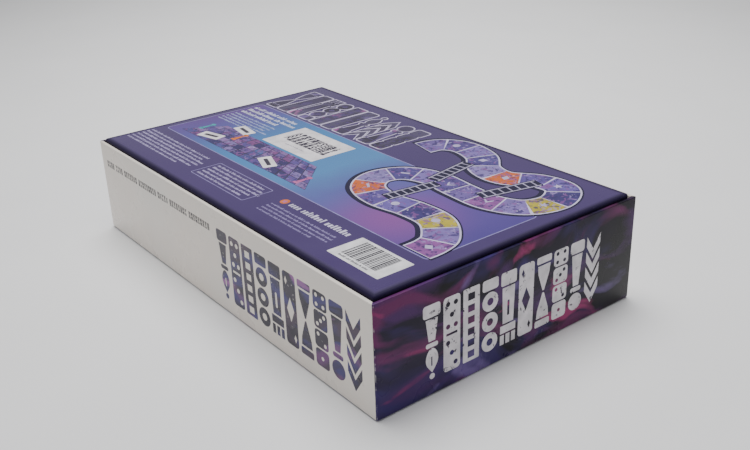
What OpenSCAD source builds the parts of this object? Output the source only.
// A telescoping board game box, closed and lying face down on its lid, with the game inside.
// X runs along the box, Y across it and Z up. The origin is under the middle of the lid's face.
// Sizes are in millimetres.

/* [Lid] */
// Length of the lid, outside
lid_length = 268; // [240:1:320]
// Width of the lid, outside
lid_width = 165; // [160:1:210]
// Depth of the lid, from its face to its rim
lid_depth = 56.5; // [42:0.5:90]
// Outer radius of the lid's folded edges
lid_edge_r = 1.2; // [0.7:0.1:1.7]

/* [Greyboard and paper] */
// Thickness of the greyboard in the lid and the tray
greyboard_t = 1.6; // [1.2:0.1:2.4]
// Thickness of the printed wrap, with its glue
wrap_t = 0.25; // [0.15:0.01:0.4]
// How far the wrap turns in over the rim
turn_in = 15; // [8:1:25]
// Thickness of the paper stays round the corners
stay_t = 0.15; // [0.1:0.01:0.25]
// Reach of a corner stay along each wall
stay_reach = 14; // [6:1:25]
// Bare greyboard left above and below a corner stay
stay_inset = 3; // [2:0.5:6]

/* [Tray] */
// Free space between the tray and the lid on each side, when the tray stands in the middle
tray_gap = 0.8; // [0.6:0.1:1.5]
// How far along X the tray has slid in that space
tray_slid_x = 0.5; // [-0.5:0.1:0.5]
// How far along Y the tray has slid in that space
tray_slid_y = -0.5; // [-0.5:0.1:0.5]
// How far the upturned tray stands above the lid's rim
tray_proud = 1.85; // [1:0.05:6]
// Outer radius of the tray's folded edges
tray_edge_r = 1.7; // [0.7:0.1:1.7]
// Air between things that lie on one another
rest_gap = 0.1; // [0.05:0.01:0.15]

/* [Insert] */
// Thickness of the card that the insert is folded from
insert_t = 1; // [0.6:0.1:1.4]
// Free space between the insert and the tray, on each side
insert_gap = 0.5; // [0.3:0.1:1]
// Free space at each end of a deck in its pocket
deck_end_gap = 3.3; // [1:0.1:8]
// Thickness of the partitions
partition_t = 0.8; // [0.5:0.1:1.2]
// Free space between a partition and what it slots into
partition_gap = 0.1; // [0.1:0.05:0.3]
// Radius of the finger notch in a partition
notch_r = 11; // [6:0.5:14]

/* [Folding board] */
// Thickness of one leaf of the board
leaf_t = 1.7; // [1.2:0.1:2.4]
// Free space between the folded board and the tray, on each side
board_gap = 2.5; // [2.2:0.1:4]
// Radius of a leaf's corners
leaf_corner_r = 1.5; // [0.5:0.1:3]
// Radius of the cloth bead in the fold
fold_r = 0.4; // [0.25:0.05:0.5]
// Free space between the bead and a leaf
fold_gap = 0.05; // [0.05:0.01:0.1]

/* [Rules leaflet] */
// Free space between the leaflet and the tray at each end
leaflet_end_gap = 24; // [10:1:28]
// Free space between the leaflet and the tray at each side
leaflet_side_gap = 3.5; // [2:0.5:10]
// Thickness of the folded leaflet
leaflet_t = 0.6; // [0.4:0.1:1]
// Air in the leaflet's fold
leaflet_air = 0.1; // [0.05:0.01:0.2]

/* [Cards] */
// Length of a card
card_length = 88; // [80:0.5:100]
// Width of a card
card_width = 63; // [56:0.5:68]
// Thickness of a card
card_t = 0.3; // [0.2:0.01:0.4]
// Air between two cards in a deck
card_air = 0.02; // [0.02:0.01:0.05]
// Cards in each deck
cards_per_deck = 26; // [12:1:30]
// Radius of a card's corners
card_corner_r = 3.5; // [1:0.5:5]
// Width of the paper band round a deck
band_width = 24; // [12:1:40]
// Thickness of the band
band_t = 0.15; // [0.1:0.01:0.25]
// Free space between the band and the deck
band_gap = 0.1; // [0.05:0.05:0.3]

/* [Die] */
// Width of the die across its faces
die_size = 16; // [12:0.5:18]
// Radius of the ball that rounds off the die's corners, less half the die's size
die_round = 3.1; // [2.6:0.1:4]
// Radius of the cutter that sinks a pip
pip_r = 2; // [1.6:0.1:2.2]
// Depth of a pip
pip_depth = 0.6; // [0.3:0.1:1]
// Distance between the middles of two pips in a row
pip_pitch = 4.1; // [3.6:0.1:4.3]
// Turn of the die where it lies
die_turn = 24; // [0:1:90]

/* [Playing pieces] */
// Height of a playing piece
pawn_height = 31; // [24:0.5:36]
// Radius of its foot
foot_r = 8; // [6:0.5:9]
// Rounding of the foot's rim
foot_rim_r = 1.4; // [0.8:0.1:2]
// Radius at the bottom of its body
body_r = 6.2; // [4:0.1:6.5]
// Radius of its neck
neck_r = 2.6; // [2:0.1:3.5]
// Radius of its head
head_r = 5.2; // [4:0.1:6]
// Radius of its collar
collar_r = 4.4; // [3.5:0.1:5]
// Thickness of its collar
collar_t = 1.6; // [1:0.1:2.4]
// Distance of each piece from the middle of its pocket
pawn_spread = 16; // [12:0.5:20]
// Turn of the first piece where it lies
pawn_a_turn = 14; // [0:1:30]
// Turn of the second piece where it lies
pawn_b_turn = 197; // [180:1:210]

/* [Hidden] */
$fn = 64;
through = 1; // how far a cutter runs past what it cuts

// Walls: one skin of wrap outside the greyboard, and a second one where it turns in
wall_t = wrap_t + greyboard_t;
rim_t = wall_t + wrap_t;

// Tray, standing on its rim inside the lid
tray_length = lid_length - 2 * (rim_t + tray_gap);
tray_width = lid_width - 2 * (rim_t + tray_gap);
tray_rim_z = wall_t + rest_gap;
tray_top_z = lid_depth + tray_proud;
tray_depth = tray_top_z - tray_rim_z;
inner_length = tray_length - 2 * rim_t;
inner_width = tray_width - 2 * rim_t;

// Heights of what lies on the lid's face, from below
lower_leaf_z = wall_t + rest_gap;
upper_leaf_z = lower_leaf_z + leaf_t + rest_gap;
leaflet_z = upper_leaf_z + leaf_t + rest_gap;
contents_z = leaflet_z + leaflet_t + rest_gap;

// Folded leaflet, with its fold along +Y
leaflet_length = inner_length - 2 * leaflet_end_gap;
leaflet_width = inner_width - 2 * leaflet_side_gap;

// Folded board, with its fold along -Y
board_length = inner_length - 2 * board_gap;
board_width = inner_width - 2 * board_gap;
fold_y = -board_width / 2 + fold_r;
fold_z = upper_leaf_z - rest_gap / 2;
leaf_y = fold_y + fold_r + fold_gap;
leaf_width = board_width / 2 - leaf_y;

// Pockets between the partitions, four of them, each with room for a deck
pocket_length = card_length + 2 * deck_end_gap;
pocket_x = (partition_t + pocket_length) / 2;
well_length = partition_t + 2 * pocket_length;

// Insert, upside down with its ledges below and the floor of its well above
insert_length = inner_length - 2 * insert_gap;
insert_width = inner_width - 2 * insert_gap;
insert_top_z = tray_top_z - wall_t - rest_gap;
well_floor_z = insert_top_z - insert_t;
pocket_y = (partition_t + insert_width) / 4;
partition_height = well_floor_z - contents_z;
slot_height = partition_height / 2 + partition_gap / 2;
slot_width = partition_t + 2 * partition_gap;

// Decks
card_pitch = card_t + card_air;
deck_height = cards_per_deck * card_pitch - card_air;
deck_z = contents_z + band_t + band_gap;

// Die
die_round_r = die_size / 2 + die_round;
pip_centre_z = die_size / 2 + pip_r - pip_depth;
face_turns = [[0, 0, 0], [90, 0, 0], [0, 90, 0], [0, -90, 0], [-90, 0, 0], [180, 0, 0]];

// Playing piece on its side: it touches at the rim of its foot and at its head
foot_height = 2 * foot_rim_r;
head_z = pawn_height - head_r;
rim_reach = foot_r - foot_rim_r;
rim_to_head = norm([rim_reach, head_z - foot_rim_r]);
pawn_lean = atan2(rim_reach, head_z - foot_rim_r) - asin((head_r - foot_rim_r) / rim_to_head);
pawn_middle_z = contents_z + head_r + (head_z - pawn_height / 2) * sin(pawn_lean);

// Colours
greyboard_colour = "#9b9791";
paper_colour = "#c9c6bf";
wrap_colour = "#b7b4af";
tray_colour = "#5b5478";
insert_colour = "#d9d5cb";
partition_colour = "#cfcabf";
leaf_colour = "#2e2b36";
fold_colour = "#1f1d24";
leaflet_colour = "#eeece6";
card_colour = "#6f5a9c";
band_colour = "#e8e4d8";
die_colour = "#f3f1ea";
pawn_a_colour = "#d9822b";
pawn_b_colour = "#2f9aa0";

// A flat rectangle about the origin with rounded corners
module rounded_rectangle(length, width, r) {
    square([length - 2 * r, width], center = true);
    square([length, width - 2 * r], center = true);
    for (x = [-1, 1], y = [-1, 1])
        translate([x * (length / 2 - r), y * (width / 2 - r)]) circle(r);
}

// A cuboid standing on the XY plane, about the Z axis
module slab(length, width, height) {
    translate([-length / 2, -width / 2, 0]) cube([length, width, height]);
}

// A slab with its upright edges and the edges of its lower face rounded
module folded_block(length, width, height, r) {
    intersection() {
        linear_extrude(height) rounded_rectangle(length, width, r);
        rotate([90, 0, 90]) linear_extrude(length + 2 * through, center = true)
            lower_rounded_profile(width, height, r);
        rotate([90, 0, 0]) linear_extrude(width + 2 * through, center = true)
            lower_rounded_profile(length, height, r);
    }
}

// The outline of a block from one side, with its two lower corners rounded
module lower_rounded_profile(length, height, r) {
    translate([-length / 2, r]) square([length, height - r + through]);
    translate([-length / 2 + r, 0]) square([length - 2 * r, height]);
    for (x = [-1, 1]) translate([x * (length / 2 - r), r]) circle(r);
}

// The space that the greyboard takes in a box half with these outer sizes, cavity and all
module greyboard_space(length, width, depth, r) {
    translate([0, 0, wrap_t])
        folded_block(length - 2 * wrap_t, width - 2 * wrap_t, depth - 2 * wrap_t, r - wrap_t);
}

// The four paper stays that hold the corners of the folded greyboard together
module corner_stays(length, width, depth, r) {
    out_length = length - 2 * wrap_t;
    out_width = width - 2 * wrap_t;
    out_r = r - wrap_t;
    translate([0, 0, wrap_t + stay_inset]) linear_extrude(depth - 2 * wrap_t - 2 * stay_inset)
        intersection() {
            difference() {
                rounded_rectangle(out_length, out_width, out_r);
                rounded_rectangle(out_length - 2 * stay_t, out_width - 2 * stay_t, out_r - stay_t);
            }
            for (x = [-1, 1], y = [-1, 1])
                translate([x * out_length / 2, y * out_width / 2]) square(2 * stay_reach, center = true);
        }
}

// The folded greyboard of a box half, open at the top
module greyboard_shell(length, width, depth, r) {
    difference() {
        greyboard_space(length, width, depth, r);
        translate([0, 0, wall_t]) slab(length - 2 * wall_t, width - 2 * wall_t, depth);
        corner_stays(length, width, depth, r);
    }
}

// The printed wrap of a box half: over the outside, round the rim and a little way down inside
module wrap_shell(length, width, depth, r) {
    difference() {
        folded_block(length, width, depth, r);
        greyboard_space(length, width, depth, r);
        translate([0, 0, depth / 2]) slab(length - 2 * rim_t, width - 2 * rim_t, depth);
    }
    translate([0, 0, depth - turn_in]) difference() {
        slab(length - 2 * wall_t, width - 2 * wall_t, turn_in);
        translate([0, 0, -through])
            slab(length - 2 * rim_t, width - 2 * rim_t, turn_in + 2 * through);
    }
}

// Moves what stands in the tray to where the tray has slid
module with_tray() {
    translate([tray_slid_x, tray_slid_y, 0]) children();
}

// Turns a box half over and sets it down as the tray
module as_tray() {
    with_tray() translate([0, 0, tray_top_z]) mirror([0, 0, 1]) children();
}

module lid_greyboard() {
    color(greyboard_colour) greyboard_shell(lid_length, lid_width, lid_depth, lid_edge_r);
}

module lid_wrap() {
    color(wrap_colour) wrap_shell(lid_length, lid_width, lid_depth, lid_edge_r);
}

module lid_corner_stays() {
    color(paper_colour) corner_stays(lid_length, lid_width, lid_depth, lid_edge_r);
}

module tray_greyboard() {
    color(greyboard_colour) as_tray()
        greyboard_shell(tray_length, tray_width, tray_depth, tray_edge_r);
}

module tray_wrap() {
    color(tray_colour) as_tray() wrap_shell(tray_length, tray_width, tray_depth, tray_edge_r);
}

module tray_corner_stays() {
    color(paper_colour) as_tray() corner_stays(tray_length, tray_width, tray_depth, tray_edge_r);
}

// One sheet of card folded into a well with a ledge and a leg at each end
module insert_cradle() {
    color(insert_colour) with_tray() rotate([90, 0, 0]) linear_extrude(insert_width, center = true) {
        translate([-well_length / 2 - insert_t, well_floor_z])
            square([well_length + 2 * insert_t, insert_t]);
        for (side = [0, 1]) mirror([side, 0]) {
            translate([well_length / 2, contents_z]) square([insert_t, insert_top_z - contents_z]);
            translate([well_length / 2, contents_z])
                square([(insert_length - well_length) / 2, insert_t]);
            translate([insert_length / 2 - insert_t, contents_z])
                square([insert_t, insert_top_z - contents_z]);
        }
    }
}

// A partition along X with a slot in its middle and a finger notch in the middle of each half.
// The slot is cut from below or from above, so that two partitions slide into each other.
module partition(length, slot_z) {
    rotate([90, 0, 0]) linear_extrude(partition_t, center = true) difference() {
        translate([-length / 2, contents_z]) square([length, partition_height]);
        translate([-slot_width / 2, slot_z]) square([slot_width, slot_height + through]);
        for (x = [-1, 1]) translate([x * length / 4, contents_z]) circle(notch_r);
    }
}

module insert_long_partition() {
    color(partition_colour) with_tray()
        partition(well_length - 2 * partition_gap, contents_z - through);
}

module insert_cross_partition() {
    color(partition_colour) with_tray() rotate([0, 0, 90])
        partition(insert_width, well_floor_z - slot_height);
}

// One leaf of the board, lying beside the fold
module leaf() {
    translate([0, leaf_y + leaf_width / 2, 0]) linear_extrude(leaf_t)
        rounded_rectangle(board_length, leaf_width, leaf_corner_r);
}

module board_upper_leaf() {
    color(leaf_colour) translate([0, 0, upper_leaf_z]) leaf();
}

module board_lower_leaf() {
    color(leaf_colour) translate([0, 0, lower_leaf_z]) leaf();
}

// The cloth bead in the fold, which the lower leaf turns about
module board_fold() {
    color(fold_colour) translate([0, fold_y, fold_z]) rotate([0, 90, 0])
        cylinder(h = board_length - 2 * leaf_corner_r, r = fold_r, center = true);
}

// A sheet folded in half along +Y
module rules_leaflet() {
    fold_round_r = leaflet_t / 2;
    color(leaflet_colour) translate([0, 0, leaflet_z]) rotate([90, 0, 90])
        linear_extrude(leaflet_length, center = true) difference() {
            union() {
                translate([-leaflet_width / 2, 0])
                    square([leaflet_width - fold_round_r, leaflet_t]);
                translate([leaflet_width / 2 - fold_round_r, fold_round_r]) circle(fold_round_r);
            }
            translate([-leaflet_width / 2 - through, (leaflet_t - leaflet_air) / 2])
                square([leaflet_width - 2 * fold_round_r + through, leaflet_air]);
        }
}

module play_cards() {
    for (i = [0 : cards_per_deck - 1]) translate([0, 0, deck_z + i * card_pitch])
        linear_extrude(card_t) rounded_rectangle(card_length, card_width, card_corner_r);
}

// A paper band round the middle of a deck
module card_band() {
    hole_width = card_width + 2 * band_gap;
    hole_height = deck_height + 2 * band_gap;
    translate([0, 0, contents_z]) difference() {
        slab(band_width, hole_width + 2 * band_t, hole_height + 2 * band_t);
        translate([0, 0, band_t]) slab(band_width + 2 * through, hole_width, hole_height);
    }
}

module play_cards_a() {
    color(card_colour) with_tray() translate([-pocket_x, pocket_y, 0]) play_cards();
}

module card_band_a() {
    color(band_colour) with_tray() translate([-pocket_x, pocket_y, 0]) card_band();
}

module play_cards_b() {
    color(card_colour) with_tray() translate([-pocket_x, -pocket_y, 0]) play_cards();
}

module card_band_b() {
    color(band_colour) with_tray() translate([-pocket_x, -pocket_y, 0]) card_band();
}

// Where a face's pips lie, in pitches
function pip_places(count) =
    count == 1 ? [[0, 0]]
    : count == 2 ? [[-1, -1], [1, 1]]
    : count == 3 ? concat(pip_places(1), pip_places(2))
    : count == 4 ? [[-1, -1], [-1, 1], [1, -1], [1, 1]]
    : count == 5 ? concat(pip_places(1), pip_places(4))
    : concat(pip_places(4), [[-1, 0], [1, 0]]);

module die() {
    color(die_colour) with_tray() translate([pocket_x, pocket_y, contents_z + die_size / 2])
        rotate([0, 0, die_turn]) difference() {
            intersection() {
                cube(die_size, center = true);
                sphere(die_round_r);
            }
            for (count = [1 : 6]) rotate(face_turns[count - 1])
                for (place = pip_places(count))
                    translate([place.x * pip_pitch, place.y * pip_pitch, pip_centre_z])
                        sphere(pip_r);
        }
}

// A playing piece standing on its foot
module standing_pawn() {
    cylinder(h = foot_height, r = rim_reach);
    translate([0, 0, foot_rim_r]) rotate_extrude() translate([rim_reach, 0]) circle(foot_rim_r);
    translate([0, 0, foot_rim_r])
        cylinder(h = head_z - foot_rim_r, r1 = body_r, r2 = neck_r);
    translate([0, 0, head_z - head_r]) cylinder(h = collar_t, r = collar_r);
    translate([0, 0, head_z]) sphere(head_r);
}

// A playing piece lying in a pocket, on its rim and its head
module lying_pawn(across, turn) {
    translate([pocket_x, across, pawn_middle_z]) rotate([0, 0, turn])
        rotate([0, 90 + pawn_lean, 0]) translate([0, 0, -pawn_height / 2]) standing_pawn();
}

module pawn_a() {
    color(pawn_a_colour) with_tray() lying_pawn(-pocket_y - pawn_spread, pawn_a_turn);
}

module pawn_b() {
    color(pawn_b_colour) with_tray() lying_pawn(-pocket_y + pawn_spread, pawn_b_turn);
}

lid_greyboard();
lid_wrap();
lid_corner_stays();
tray_greyboard();
tray_wrap();
tray_corner_stays();
insert_cradle();
insert_long_partition();
insert_cross_partition();
board_upper_leaf();
board_lower_leaf();
board_fold();
rules_leaflet();
play_cards_a();
card_band_a();
play_cards_b();
card_band_b();
die();
pawn_a();
pawn_b();
